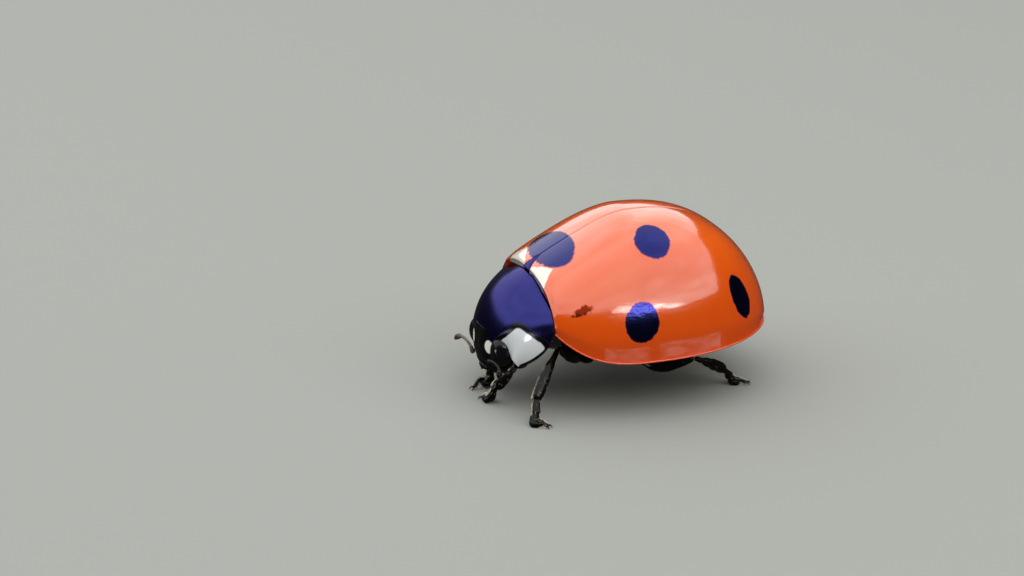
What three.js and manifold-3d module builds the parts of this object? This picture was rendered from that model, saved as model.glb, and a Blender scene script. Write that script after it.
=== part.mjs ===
// A seven-spot ladybird (Coccinella septempunctata), standing on its six feet.
// Millimetres, +Z up. The head points to -Y and the left side is +X, with the floor at z = 0.
// Every outer plate, feeler and leg segment is its own closed solid, parted from its neighbours by thin cuts.
import * as THREE from 'three';
import { ParametricGeometry } from 'three/addons/geometries/ParametricGeometry.js';
import { mergeVertices } from 'three/addons/utils/BufferGeometryUtils.js';
import Module from 'manifold-3d';

const wasm = await Module();
wasm.setup();

const vec = (x, y, z) => new THREE.Vector3(x, y, z);

// ---- driving dimensions, in the body's own frame: z = 0 is the lowest point of the wing-case margin ----
const CUT = 0.06;                    // width of the cut between neighbouring pieces
const RIDE_HEIGHT = 1.4;             // from the floor up to the wing-case margin

// wing cases (elytra)
const CASE_FRONT = -2.72;
const CASE_REAR = 3.29;
const CASE_HALF_WIDTH = 2.98;
const WIDEST_Y = -0.39;
const SHOULDER_Y = -3.51;            // where the outline would close if it ran on in front
const CASE_RISE = 2.97;              // crest above the margin
const CREST_Y = -0.08;
const BROW_Y = -2.98;                // where the crest line would come down in front
const CASE_THICK = 0.45;
const CASE_LIP_THICK = 0.2;          // at the front edge
const CASE_HOLLOW_END = CASE_REAR - CASE_THICK;   // the rear tip behind this is solid
const MARGIN_LOW_Y = -0.23;          // the margin is lowest here and rises both ways
const MARGIN_REAR_RISE = 0.17;
const MARGIN_FRONT_RISE = 0.68;

// superellipse powers [t's, the root's] of the outlines
const WIDTH_REAR_SHAPE = [2.31, 2.46];
const WIDTH_FRONT_SHAPE = [2.51, 1.95];
const CREST_REAR_SHAPE = [2.47, 1.755];
const CREST_FRONT_SHAPE = [1.58, 2];
const ARCH_SHAPE = [2.48, 2.08];
const PLATE_ARCH_SHAPE = [2.25, 2.05];
const HEAD_WIDTH_SHAPE = [2.2, 1.8];
const HEAD_DEPTH_SHAPE = [2.2, 2];

// small triangular plate between the wing cases (scutellum)
const SCUTELLUM_HALF_WIDTH = 0.27;
const SCUTELLUM_LENGTH = 0.42;
const SCUTELLUM_DEPTH = 0.4;         // measured straight down, on a steep slope

// front plate (pronotum) and the breast piece under it
const PLATE_HIND_CREST = vec(0, -2.79, 1.68);
const PLATE_CREST_BULGE = vec(0, -3.66, 1.3);
const PLATE_FRONT_CREST = vec(0, -3.97, 0.3);
const PLATE_HIND_CORNER = vec(2.14, -2.8, 0.64);
const PLATE_SIDE_BULGE = vec(2.0, -2.95, 0.05);
const PLATE_FRONT_CORNER = vec(1.36, -3.42, -0.3);
const PROSTERNUM_HIND = vec(0, -2.76, -0.55);
const PROSTERNUM_FRONT = vec(0, -3.2, -0.45);
const KEEL_SHARPNESS = 3;            // how narrow the underside's middle ridge is

// breast and belly
const BREAST_FRONT = -2.66;
const BREAST_END = 0.3;              // the breast ends and the belly starts here
const BELLY_REAR = CASE_HOLLOW_END - CUT;
const BREAST_DEPTH = 0.62;           // below the margin
const BELLY_TAIL_DEPTH = 0.05;
const BELLY_TAPER = 1.5;
const BELLY_FLATNESS = 0.7;          // below 1 the underside is flatter than a parabola

// head
const HEAD_TOP = 0.4;
const HEAD_CHIN = -0.7;
const HEAD_Y = -3.54;
const HEAD_HALF_WIDTH = 0.98;
const HEAD_HALF_DEPTH = 0.5;
const HEAD_WIDEST_AT = 0.43;         // share of the way from its top down to its chin
const HEAD_CLOSES_AT = 0.77;
const EYE_CENTRE = vec(0.84, -3.66, -0.04);
const EYE_RADII = vec(0.29, 0.29, 0.38);
const EYE_TURN = 0.35;               // each eye's long axis leans outwards to the rear
const LABRUM_CENTRE = vec(0, -3.9, -0.7);
const LABRUM_RADII = vec(0.34, 0.2, 0.17);
const MANDIBLE_CENTRE = vec(0.2, -3.74, -0.82);
const MANDIBLE_RADII = vec(0.22, 0.24, 0.16);
const PALP_ROOT = vec(0.36, -3.66, -0.68);
const PALP_TIP = vec(0.46, -3.98, -0.7);
const PALP_RADIUS = 0.2;
const FEELER_RADIUS = 0.24;
const FEELER_FOOT_SHARE = 0.92;      // of the radius, along the foot and stem
const FEELER_CLUB_AT = 0.6;
const FEELER_LEFT = [
  vec(0.7, -3.98, -0.3), vec(1.04, -4.0, -0.2), vec(1.3, -3.96, -0.32), vec(1.34, -3.98, -0.66),
];
const FEELER_RIGHT = [
  vec(-0.7, -3.98, -0.38), vec(-0.95, -4.06, -0.3), vec(-1.2, -4.16, -0.28), vec(-1.38, -4.22, -0.42),
];

// legs: each limb segment is about as thick as it can be cast
const COXA_RADII = vec(0.34, 0.25, 0.25);
const FEMUR_RADII = [0.22, 0.27, 0.27, 0.22];
const TIBIA_RADII = [0.22, 0.23, 0.24, 0.24];
const TARSUS_RADIUS = 0.24;
const TOE_TAPER = 0.35;
const SOLE = -RIDE_HEIGHT + 0.17;    // height of a tarsus's middle: its underside is cut flat by the floor

// Joints of each leg: the coxa's middle, knee and ankle, then the tarsus's heel and toe on the ground.
const LEGS = {
  front_left: [vec(0.42, -2.98, -0.62), vec(1.0, -3.2, -0.4), vec(0.86, -3.72, -0.95),
    vec(0.52, -3.83, SOLE), vec(0.6, -4.14, SOLE)],
  front_right: [vec(-0.42, -2.98, -0.62), vec(-1.2, -3.0, -0.35), vec(-0.66, -3.44, -0.95),
    vec(-0.38, -3.66, SOLE), vec(-0.34, -3.95, SOLE)],
  middle_left: [vec(0.85, -1.3, -0.6), vec(1.72, -2.5, 0.08), vec(2.33, -3.32, -0.86),
    vec(2.56, -3.39, SOLE), vec(2.84, -3.2, SOLE)],
  middle_right: [vec(-0.85, -1.3, -0.6), vec(-2.2, -1.75, -0.2), vec(-2.95, -0.9, -0.9),
    vec(-3.15, -0.65, SOLE), vec(-3.25, -0.25, SOLE)],
  hind_left: [vec(0.8, -0.2, -0.6), vec(1.85, 0.92, -0.38), vec(1.55, 1.92, -0.98),
    vec(1.52, 2.16, SOLE), vec(1.7, 2.45, SOLE)],
  hind_right: [vec(-0.8, -0.2, -0.6), vec(-2.15, 0.85, -0.3), vec(-2.7, 1.9, -0.95),
    vec(-2.8, 2.2, SOLE), vec(-2.95, 2.55, SOLE)],
};

// ---- making solids ----
function signedVolume(position, index) {
  const corners = [0, 1, 2].map(() => new THREE.Vector3());
  let volume = 0;
  for (let i = 0; i < index.length; i += 3) {
    corners.forEach((corner, k) => corner.fromBufferAttribute(position, index[i + k]));
    volume += corners[0].dot(corners[1].cross(corners[2])) / 6;
  }
  return volume;
}

// A closed solid from a three.js geometry: shared vertices merged, empty triangles dropped, faces outwards.
function solid(geometry) {
  geometry.deleteAttribute('normal');
  geometry.deleteAttribute('uv');
  const merged = mergeVertices(geometry, 1e-4);
  const source = merged.index.array;
  const kept = [];
  for (let i = 0; i < source.length; i += 3) {
    const [p, q, r] = [source[i], source[i + 1], source[i + 2]];
    if (p !== q && q !== r && r !== p) {
      kept.push(p, q, r);
    }
  }
  if (signedVolume(merged.attributes.position, kept) < 0) {
    kept.reverse();
  }
  return new wasm.Manifold(new wasm.Mesh({
    numProp: 3,
    vertProperties: new Float32Array(merged.attributes.position.array),
    triVerts: new Uint32Array(kept),
  }));
}

function geometryOf(body) {
  const mesh = body.getMesh();
  const geometry = new THREE.BufferGeometry();
  geometry.setAttribute('position', new THREE.BufferAttribute(new Float32Array(mesh.vertProperties), 3));
  geometry.setIndex(new THREE.BufferAttribute(new Uint32Array(mesh.triVerts), 1));
  return geometry;
}

// A solid lofted through closed rings: ring(s, a, out) writes the point s = 0..1 along and a = 0..1 around.
// Each end closes on the middle of its ring.
function loft(ring, along, around) {
  const middles = [0, 1].map((end) => {
    const sum = new THREE.Vector3();
    const point = new THREE.Vector3();
    for (let i = 0; i < around; i += 1) {
      ring(end, i / around, point);
      sum.add(point);
    }
    return sum.divideScalar(around);
  });
  const rows = along + 2;
  const surface = (u, v, target) => {
    const row = Math.round(v * rows);
    if (row === 0 || row === rows) {
      target.copy(middles[row === 0 ? 0 : 1]);
    } else {
      ring((row - 1) / along, u < 1 ? u : 0, target);
    }
  };
  return solid(new ParametricGeometry(surface, around, rows));
}

function ellipsoid(centre, radii, grow = 0, turnZ = 0, fineness = 10) {
  const geometry = new THREE.SphereGeometry(1, fineness, Math.round(0.65 * fineness));
  geometry.rotateX(Math.PI / 2);
  geometry.scale(radii.x + grow, radii.y + grow, radii.z + grow);
  geometry.rotateZ(turnZ);
  return solid(geometry.translate(centre.x, centre.y, centre.z));
}

// Where the one extra ring of a round end lies, in radii.
const ROUND_OUT = 0.75;
const ROUND_ALONG = 0.66;

// A turned segment from one joint to the next, round at both ends, with its radii given at even steps.
function segment(from, to, radii, grow = 0, sides = 8) {
  const length = from.distanceTo(to);
  const first = radii[0] + grow;
  const last = radii[radii.length - 1] + grow;
  const outline = [new THREE.Vector2(0, -first), new THREE.Vector2(ROUND_OUT * first, -ROUND_ALONG * first)];
  radii.forEach((radius, i) => {
    outline.push(new THREE.Vector2(radius + grow, length * i / (radii.length - 1)));
  });
  outline.push(new THREE.Vector2(ROUND_OUT * last, length + ROUND_ALONG * last));
  outline.push(new THREE.Vector2(0, length + last));
  const geometry = new THREE.LatheGeometry(outline, sides);
  const direction = new THREE.Vector3().subVectors(to, from).normalize();
  geometry.applyQuaternion(new THREE.Quaternion().setFromUnitVectors(vec(0, 1, 0), direction));
  return solid(geometry.translate(from.x, from.y, from.z));
}

// A bent tube along a smooth curve, with its radius as a function of the place 0..1 along it.
function bentTube(points, radiusAt, steps = 8, sides = 8) {
  const curve = new THREE.CatmullRomCurve3(points);
  const frames = curve.computeFrenetFrames(steps, false);
  const ring = (s, a, target) => {
    const step = Math.round(s * steps);
    const radius = radiusAt(s);
    curve.getPointAt(s, target);
    target.addScaledVector(frames.normals[step], radius * Math.cos(2 * Math.PI * a));
    target.addScaledVector(frames.binormals[step], radius * Math.sin(2 * Math.PI * a));
  };
  return loft(ring, steps, sides);
}

const { lerp } = THREE.MathUtils;
const clamp01 = (value) => THREE.MathUtils.clamp(value, 0, 1);
const superellipse = (t, [power, root]) => (1 - clamp01(t) ** power) ** (1 / root);
const bezier = (a, b, c, s) => new THREE.QuadraticBezierCurve3(a, b, c).getPoint(s);

// ---- the dome of the wing cases ----
function halfWidth(y) {
  return y > WIDEST_Y
    ? CASE_HALF_WIDTH * superellipse((y - WIDEST_Y) / (CASE_REAR - WIDEST_Y), WIDTH_REAR_SHAPE)
    : CASE_HALF_WIDTH * superellipse((WIDEST_Y - y) / (WIDEST_Y - SHOULDER_Y), WIDTH_FRONT_SHAPE);
}

function crestRise(y) {
  return y > CREST_Y
    ? CASE_RISE * superellipse((y - CREST_Y) / (CASE_REAR - CREST_Y), CREST_REAR_SHAPE)
    : CASE_RISE * superellipse((CREST_Y - y) / (CREST_Y - BROW_Y), CREST_FRONT_SHAPE);
}

function marginHeight(y) {
  return y > MARGIN_LOW_Y
    ? MARGIN_REAR_RISE * ((y - MARGIN_LOW_Y) / (CASE_REAR - MARGIN_LOW_Y)) ** 2
    : MARGIN_FRONT_RISE * ((MARGIN_LOW_Y - y) / (MARGIN_LOW_Y - CASE_FRONT)) ** 3;
}


// A point of the dome, at across = -1..1 from margin to margin, sunk inwards by depth.
function domePoint(y, across, depth, target) {
  const share = Math.sin(across * Math.PI / 2);
  const width = Math.max(halfWidth(y) - depth, 0);
  const rise = Math.max(crestRise(y) - depth, 0);
  return target.set(width * share, y, marginHeight(y) + rise * superellipse(Math.abs(share), ARCH_SHAPE));
}

// One wing case is a shell: each ring runs out along the outer skin and back along the inner one.
function wingCase(side) {
  const rows = 15;
  const ring = (s, a, target) => {
    const y = lerp(CASE_FRONT, CASE_REAR - 0.01, Math.sin(s * Math.PI / 2));
    const outer = a <= 0.5;
    const across = side * (outer ? 2 * a : 2 - 2 * a);
    const lip = clamp01((y - CASE_FRONT) / CASE_THICK);
    const tip = clamp01((y - CASE_HOLLOW_END) / (CASE_REAR - CASE_HOLLOW_END) * 2);
    const depth = lerp(CASE_LIP_THICK, CASE_THICK, lip) + CASE_HALF_WIDTH * tip;
    domePoint(y, across, outer ? 0 : depth, target);
    target.x += side * CUT / 2;
  };
  return loft(ring, rows, 22);
}

// ---- front plate and breast piece ----
function frontPlate() {
  const ring = (s, a, target) => {
    const margin = bezier(PLATE_HIND_CORNER, PLATE_SIDE_BULGE, PLATE_FRONT_CORNER, s);
    const crest = bezier(PLATE_HIND_CREST, PLATE_CREST_BULGE, PLATE_FRONT_CREST, s);
    const keel = new THREE.Vector3().lerpVectors(PROSTERNUM_HIND, PROSTERNUM_FRONT, s);
    const outer = a <= 0.5;
    const share = Math.sin((outer ? 4 * a - 1 : 3 - 4 * a) * Math.PI / 2);
    const arch = superellipse(Math.abs(share), PLATE_ARCH_SHAPE);
    const height = outer ? arch : (1 - share * share) ** KEEL_SHARPNESS;
    target.lerpVectors(margin, outer ? crest : keel, height);
    target.x = margin.x * share;
  };
  return loft(ring, 8, 26);
}

// ---- breast and belly: one lofted body under the wing cases, parted by a cut ----
function trunk(front, rear, rows, sunk = CASE_THICK + CUT) {
  const ring = (s, a, target) => {
    const y = lerp(front, rear, s);
    const outer = a <= 0.5;
    const across = outer ? 4 * a - 1 : 3 - 4 * a;
    domePoint(y, across, sunk, target);
    if (!outer) {
      const share = Math.sin(across * Math.PI / 2);
      const taper = clamp01((y - BREAST_END) / (BELLY_REAR - BREAST_END)) ** BELLY_TAPER;
      const depth = lerp(BREAST_DEPTH, BELLY_TAIL_DEPTH, taper);
      target.z = marginHeight(y) - (depth + marginHeight(y)) * (1 - share * share) ** BELLY_FLATNESS;
    }
  };
  return loft(ring, rows, 20);
}

// ---- head ----
function skull(grow = 0) {
  const ring = (s, a, target) => {
    const z = lerp(HEAD_TOP + grow, HEAD_CHIN - grow, s);
    const offMiddle = Math.abs(s - HEAD_WIDEST_AT) / HEAD_CLOSES_AT;
    const width = HEAD_HALF_WIDTH * superellipse(offMiddle, HEAD_WIDTH_SHAPE) + grow;
    const depth = HEAD_HALF_DEPTH * superellipse(offMiddle, HEAD_DEPTH_SHAPE) + grow;
    const angle = 2 * Math.PI * a;
    target.set(width * Math.cos(angle), HEAD_Y + depth * Math.sin(angle), z);
  };
  return loft(ring, 7, 18);
}

// ---- pieces ----
const pieces = new Map();
const BLACK = { color: 0x0b0b0f, roughness: 0.2 };
const SCARLET = { color: 0xd23c08, roughness: 0.18 };
const HORN = { color: 0x3a2c22, roughness: 0.4 };
const GROUND = solid(new THREE.BoxGeometry(12, 12, 2).translate(0, 0, -RIDE_HEIGHT - 1));

const sides = { left: 1, right: -1 };
const mirrored = (point, side) => vec(side * point.x, point.y, point.z);
const eye = (side, grow) => ellipsoid(mirrored(EYE_CENTRE, side), EYE_RADII, grow, -side * EYE_TURN, 14);
const mandible = (side, grow) => ellipsoid(mirrored(MANDIBLE_CENTRE, side), MANDIBLE_RADII, grow);
const labrum = (grow) => ellipsoid(LABRUM_CENTRE, LABRUM_RADII, grow);

// The notch for the scutellum in the wing cases' front edge, as a prism.
function scutellumNotch(grow) {
  const outline = new THREE.Shape([
    new THREE.Vector2(-SCUTELLUM_HALF_WIDTH - grow, CASE_FRONT - grow),
    new THREE.Vector2(SCUTELLUM_HALF_WIDTH + grow, CASE_FRONT - grow),
    new THREE.Vector2(0, CASE_FRONT + SCUTELLUM_LENGTH + 1.5 * grow),
  ]);
  return solid(new THREE.ExtrudeGeometry(outline, { depth: 3, bevelEnabled: false }));
}

// The scutellum itself is that prism's share of the dome's skin.
function scutellum() {
  const rear = CASE_FRONT + 1.5 * SCUTELLUM_LENGTH;
  const below = trunk(CASE_FRONT - CUT, rear + CUT, 3, SCUTELLUM_DEPTH);
  return trunk(CASE_FRONT, rear, 3, 0).subtract(below).intersect(scutellumNotch(0));
}

// A feeler is thin at its foot and ends in a short club.
const feelerRadius = (s) => FEELER_RADIUS * (s < FEELER_CLUB_AT ? FEELER_FOOT_SHARE : 1);

let breast = trunk(BREAST_FRONT, BREAST_END - CUT / 2, 7);
let belly = trunk(BREAST_END + CUT / 2, BELLY_REAR, 8);
let plate = frontPlate().subtract(skull(CUT));
let head = skull(0);

for (const [name, side] of Object.entries(sides)) {
  pieces.set(`elytron_${name}`, [wingCase(side).subtract(scutellumNotch(CUT / 2)), SCARLET]);
  pieces.set(`eye_${name}`, [eye(side, 0).subtract(plate), BLACK]);
  const jaw = mandible(side, 0).subtract(labrum(CUT)).subtract(skull(CUT));
  const ownHalf = solid(new THREE.BoxGeometry(4, 4, 4).translate(side * (2 + CUT / 2), -3, -2));
  pieces.set(`mandible_${name}`, [jaw.intersect(ownHalf), BLACK]);
  const palp = segment(mirrored(PALP_ROOT, side), mirrored(PALP_TIP, side), [PALP_RADIUS, PALP_RADIUS], 0);
  const freePalp = palp.subtract(skull(CUT)).subtract(mandible(side, CUT)).subtract(labrum(CUT));
  pieces.set(`palp_${name}`, [freePalp, BLACK]);
  const feeler = bentTube(side > 0 ? FEELER_LEFT : FEELER_RIGHT, feelerRadius, 7);
  pieces.set(`antenna_${name}`, [feeler.subtract(skull(CUT)).subtract(eye(side, CUT)), HORN]);
  plate = plate.subtract(eye(side, CUT));
  head = head.subtract(eye(side, CUT));
}
pieces.set('labrum', [labrum(0).subtract(skull(CUT)), BLACK]);

pieces.set('scutellum', [scutellum(), BLACK]);

for (const [name, joints] of Object.entries(LEGS)) {
  const [hip, knee, ankle, heel, toe] = joints;
  const coxa = (grow) => ellipsoid(hip, COXA_RADII, grow, 0, 8);
  const femur = (grow) => segment(hip, knee, FEMUR_RADII, grow);
  const tibia = (grow) => segment(knee, ankle, TIBIA_RADII, grow);
  const tarsus = bentTube([ankle, heel, toe], (s) => TARSUS_RADIUS * (1 - TOE_TAPER * s ** 6), 5);
  pieces.set(`coxa_${name}`, [coxa(0), BLACK]);
  pieces.set(`femur_${name}`, [femur(0).subtract(coxa(CUT)), BLACK]);
  pieces.set(`tibia_${name}`, [tibia(0).subtract(femur(CUT)), BLACK]);
  pieces.set(`tarsus_${name}`, [tarsus.subtract(tibia(CUT)).subtract(GROUND), BLACK]);
  breast = breast.subtract(coxa(CUT)).subtract(femur(CUT));
  belly = belly.subtract(femur(CUT));
  plate = plate.subtract(coxa(CUT)).subtract(femur(CUT)).subtract(tibia(CUT));
  head = head.subtract(coxa(CUT)).subtract(femur(CUT)).subtract(tibia(CUT));
}
pieces.set('pronotum', [plate, BLACK]);
pieces.set('head', [head, BLACK]);
pieces.set('thorax', [breast, BLACK]);
pieces.set('abdomen', [belly, BLACK]);

const ladybird = new THREE.Group();
for (const [name, [body, finish]] of pieces) {
  const mesh = new THREE.Mesh(geometryOf(body), new THREE.MeshStandardMaterial({ ...finish, metalness: 0 }));
  mesh.name = name;
  ladybird.add(mesh);
}
// The origin is on the floor under the middle of the bounding box.
const middle = new THREE.Box3().setFromObject(ladybird).getCenter(vec(0, 0, 0));
ladybird.position.set(-middle.x, -middle.y, RIDE_HEIGHT);
export default ladybird;
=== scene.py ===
# %% [markdown]
# # A seven-spot ladybird, life size
#
# This lesson finishes a small beetle in Blender. Its solids are already packed, in metres, and the
# frame loads them. Nearly every outer part of a beetle is a hard plate of horny chitin, so there is no
# single skin: each plate, feeler and leg segment becomes a fine mesh of its own over its solid.

# %% Load the frame
import math
import random

import bmesh
import bpy
from mathutils import Matrix, Vector

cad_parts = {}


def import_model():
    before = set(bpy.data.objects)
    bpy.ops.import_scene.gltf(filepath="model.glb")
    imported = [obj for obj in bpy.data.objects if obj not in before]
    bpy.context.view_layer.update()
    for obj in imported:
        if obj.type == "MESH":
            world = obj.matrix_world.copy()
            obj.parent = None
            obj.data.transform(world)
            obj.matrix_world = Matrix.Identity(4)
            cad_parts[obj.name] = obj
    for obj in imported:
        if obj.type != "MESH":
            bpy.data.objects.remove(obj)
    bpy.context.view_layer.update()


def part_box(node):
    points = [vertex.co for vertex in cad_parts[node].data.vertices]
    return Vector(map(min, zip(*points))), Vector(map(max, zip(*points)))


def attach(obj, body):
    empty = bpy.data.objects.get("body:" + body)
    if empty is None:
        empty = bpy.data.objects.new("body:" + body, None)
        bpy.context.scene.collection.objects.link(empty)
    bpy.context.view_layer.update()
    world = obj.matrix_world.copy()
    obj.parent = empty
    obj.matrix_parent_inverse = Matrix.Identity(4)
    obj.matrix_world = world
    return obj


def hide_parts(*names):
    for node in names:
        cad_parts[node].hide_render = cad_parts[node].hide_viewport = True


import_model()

# %% [markdown]
# ## One way to say where things are
#
# A ladybird is easiest to draw in its own frame: millimetres, the seam between the wing cases on x = 0,
# the head towards -y and z = 0 at the lowest edge of the wing cases. The wing-case solids say where that
# frame lies on the floor, so every new piece lands on the solids without any fitting.

# %% The body's own frame
MM = 0.001
CASE_FRONT = -2.72
CASE_REAR = 3.29
RIDE_HEIGHT = 1.4  # of the wing cases' lowest edge over the ground
SIDES = (("left", 1), ("right", -1))

case_low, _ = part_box("elytron_right")
_, case_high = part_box("elytron_left")
BODY = Vector((
    (case_low[0] + case_high[0]) / 2 / MM,
    case_high[1] / MM - (CASE_REAR - 0.01),
    RIDE_HEIGHT,
))
print("body frame, mm:", tuple(round(value, 3) for value in BODY))


def world(x, y, z):
    """A point of the body's frame, in metres in the scene."""
    return (Vector((x, y, z)) + BODY) * MM


def mix(a, b, share):
    return a + (b - a) * share


def clamp01(value):
    return min(max(value, 0.0), 1.0)


def smooth(value):
    """0 to 1 with soft ends."""
    t = clamp01(value)
    return t * t * (3 - 2 * t)


def bell(distance, width):
    """1 at no distance, sinking softly to 0 past the width."""
    return math.exp(-((distance / width) ** 2))


# %% [markdown]
# ## The dome
#
# Two outlines make a ladybird's dome: how wide it is at each place along the body, and how high. Each is
# a superellipse, which is rounder than an ellipse at its shoulders. The front and the rear halves have
# powers of their own, because the dome is fullest in front of the middle.

# %% Outlines of the dome
CASE_HALF_WIDTH = 2.98
WIDEST_Y = -0.39
SHOULDER_Y = -3.51
CASE_RISE = 2.97
CREST_Y = -0.08
BROW_Y = -2.98
MARGIN_LOW_Y = -0.23
MARGIN_REAR_RISE = 0.17
MARGIN_FRONT_RISE = 0.68
ARCH_SHAPE = (2.48, 2.08)


def superellipse(t, shape):
    return (1 - clamp01(t) ** shape[0]) ** (1 / shape[1])


def half_width(y):
    if y > WIDEST_Y:
        return CASE_HALF_WIDTH * superellipse((y - WIDEST_Y) / (CASE_REAR - WIDEST_Y), (2.31, 2.46))
    return CASE_HALF_WIDTH * superellipse((WIDEST_Y - y) / (WIDEST_Y - SHOULDER_Y), (2.51, 1.95))


def crest_rise(y):
    if y > CREST_Y:
        return CASE_RISE * superellipse((y - CREST_Y) / (CASE_REAR - CREST_Y), (2.47, 1.755))
    return CASE_RISE * superellipse((CREST_Y - y) / (CREST_Y - BROW_Y), (1.58, 2))


def margin_height(y):
    if y > MARGIN_LOW_Y:
        return MARGIN_REAR_RISE * ((y - MARGIN_LOW_Y) / (CASE_REAR - MARGIN_LOW_Y)) ** 2
    return MARGIN_FRONT_RISE * ((MARGIN_LOW_Y - y) / (MARGIN_LOW_Y - CASE_FRONT)) ** 3.8


def arch_over(x, y):
    """Share of the crest's rise over the plan point (x, y): 1 on the crest, 0 on the margin."""
    return superellipse(abs(x) / max(half_width(y), 1e-6), ARCH_SHAPE)


print("dome: widest", 2 * half_width(WIDEST_Y), "mm, highest", crest_rise(CREST_Y), "mm")

# %% [markdown]
# ## Colours and nodes
#
# Colours are written as they look on a screen and turned to linear light in one place. One small
# function adds any node, sets it and feeds its inputs, and the surface itself is fed in the same way.


# %% Helpers for finishes
def linear(hex_colour):
    """An sRGB hex colour as linear light, with alpha."""
    channels = [int(hex_colour[i:i + 2], 16) / 255 for i in (1, 3, 5)]
    return tuple(c / 12.92 if c <= 0.04045 else ((c + 0.055) / 1.055) ** 2.4 for c in channels) + (1.0,)


def feed(node, inputs):
    """Give a node's inputs, by name or number, links, hex colours or values; None leaves one be."""
    for key, value in inputs.items():
        if isinstance(value, bpy.types.NodeSocket):
            node.id_data.links.new(value, node.inputs[key])
        elif value is not None:
            node.inputs[key].default_value = linear(value) if isinstance(value, str) else value


def add_node(tree, kind, inputs=None, output=0, **settings):
    """Add a node, set it, feed its inputs and return one of its outputs."""
    node = tree.nodes.new("ShaderNode" + kind)
    for key, value in settings.items():
        setattr(node, key, value)
    feed(node, inputs or {})
    return node.outputs[output]


def new_finish(name):
    """A material, its nodes and the one Principled surface among them."""
    material = bpy.data.materials.new(name)
    material.use_nodes = True
    return material, material.node_tree, material.node_tree.nodes["Principled BSDF"]


# %% [markdown]
# ## Marks, pigment and relief
#
# A mark is a number from 0 to 1 over the surface that says where a pigment lies. It is worked out from
# the point's place on the body, in millimetres, so its size is the real beetle's, and it runs on from one
# piece to the next. The helpers below make marks, lay pigment and raise relief.


# %% Helpers for marks
def body_place(tree):
    """The shaded point in the body's own frame, in millimetres."""
    coordinates = add_node(tree, "TexCoord", output="Object")
    return add_node(tree, "VectorMath", {0: coordinates, 1: (1 / MM,) * 3, 2: tuple(-BODY)},
                    operation="MULTIPLY_ADD")


def both_sides(tree, place):
    """The same point with x made positive, so that one mark serves the left and the right."""
    x, y, z = add_node(tree, "SeparateXYZ", {0: place}).node.outputs
    outward = add_node(tree, "Math", {0: x}, operation="ABSOLUTE")
    return add_node(tree, "CombineXYZ", {0: outward, 1: y, 2: z})


def wobble(tree, place, per_mm, reach):
    """Move the point a little, so that a mark's edge is not a perfect line."""
    noise = add_node(tree, "TexNoise", {"Vector": place, "Scale": per_mm, "Detail": 3.0}, "Color")
    centred = add_node(tree, "VectorMath", {0: noise, 1: (0.5,) * 3}, operation="SUBTRACT")
    return add_node(tree, "VectorMath", {0: centred, 1: (2 * reach,) * 3, 2: place}, operation="MULTIPLY_ADD")


def oval_mark(tree, place, centre, radii, turn=(0, 0, 0), edge=0.04):
    """1 inside an oval whose half sizes are radii, in millimetres."""
    inside = add_node(tree, "Mapping", {"Vector": place, "Location": centre, "Rotation": turn,
                                        "Scale": radii}, vector_type="TEXTURE")
    reach = add_node(tree, "VectorMath", {0: inside}, "Value", operation="LENGTH")
    return add_node(tree, "MapRange", {"Value": reach, "From Min": 1 + edge, "From Max": 1 - edge},
                    interpolation_type="SMOOTHSTEP")


def behind_planes(tree, place, planes, rounding, edge=0.02):
    """1 behind every one of the planes (point, normal), with the corners between them rounded."""
    reach = None
    for point, normal in planes:
        normal = Vector(normal).normalized()
        along = add_node(tree, "VectorMath", {0: place, 1: tuple(-normal)}, "Value", operation="DOT_PRODUCT")
        depth = add_node(tree, "Math", {0: along, 1: Vector(point).dot(normal)}, operation="ADD")
        if reach is not None:
            depth = add_node(tree, "Math", {0: reach, 1: depth, 2: rounding}, operation="SMOOTH_MIN")
        reach = depth
    return add_node(tree, "MapRange", {"Value": reach, "From Min": -edge, "From Max": edge},
                    interpolation_type="SMOOTHSTEP")


def ramp(tree, place, direction, start, end):
    """0 where the point is at start along a direction and 1 where it is at end, with soft ends."""
    along = add_node(tree, "VectorMath", {0: place, 1: tuple(direction)}, "Value", operation="DOT_PRODUCT")
    return add_node(tree, "MapRange", {"Value": along, "From Min": start, "From Max": end},
                    interpolation_type="SMOOTHSTEP")


def combine(tree, marks, operation):
    """Join several marks: MAXIMUM for any of them, MINIMUM for all of them."""
    joined = marks[0]
    for mark in marks[1:]:
        joined = add_node(tree, "Math", {0: joined, 1: mark}, operation=operation)
    return joined


# %% Helpers for pigment and relief
def paint(tree, base, *layers):
    """A base with other hex colours, or values, laid over it, each where its own mark is 1."""
    for mark, over in layers:
        if isinstance(over, str):
            base = add_node(tree, "Mix", {0: mark, 6: base, 7: over}, 2, data_type="RGBA")
        else:
            base = add_node(tree, "Mix", {0: mark, 2: base, 3: over})
    return base


def drift(tree, place, per_mm, first, second, detail=2.0):
    """A colour or a value that drifts between two ends over the surface."""
    noise = add_node(tree, "TexNoise", {"Vector": place, "Scale": per_mm, "Detail": detail})
    return paint(tree, first, (noise, second))


def swells(tree, place, per_mm, depth, strength, under=None):
    """Soft swells of a depth in millimetres, over the bare surface or over the relief under them."""
    noise = add_node(tree, "TexNoise", {"Vector": place, "Scale": per_mm})
    return add_node(tree, "Bump", {"Strength": strength, "Distance": depth * MM, "Height": noise,
                                   "Normal": under})


def pits(tree, place, spacing, depth, strength, under=None):
    """Fine round pits, one to each cell of a spacing in millimetres."""
    cell = add_node(tree, "TexVoronoi", {"Vector": place, "Scale": 1 / spacing}, "Distance")
    height = add_node(tree, "MapRange", {"Value": cell, "From Min": 0.02, "From Max": 0.3},
                      interpolation_type="SMOOTHSTEP")
    return add_node(tree, "Bump", {"Strength": strength, "Distance": depth * MM, "Height": height,
                                   "Normal": under})


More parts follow.
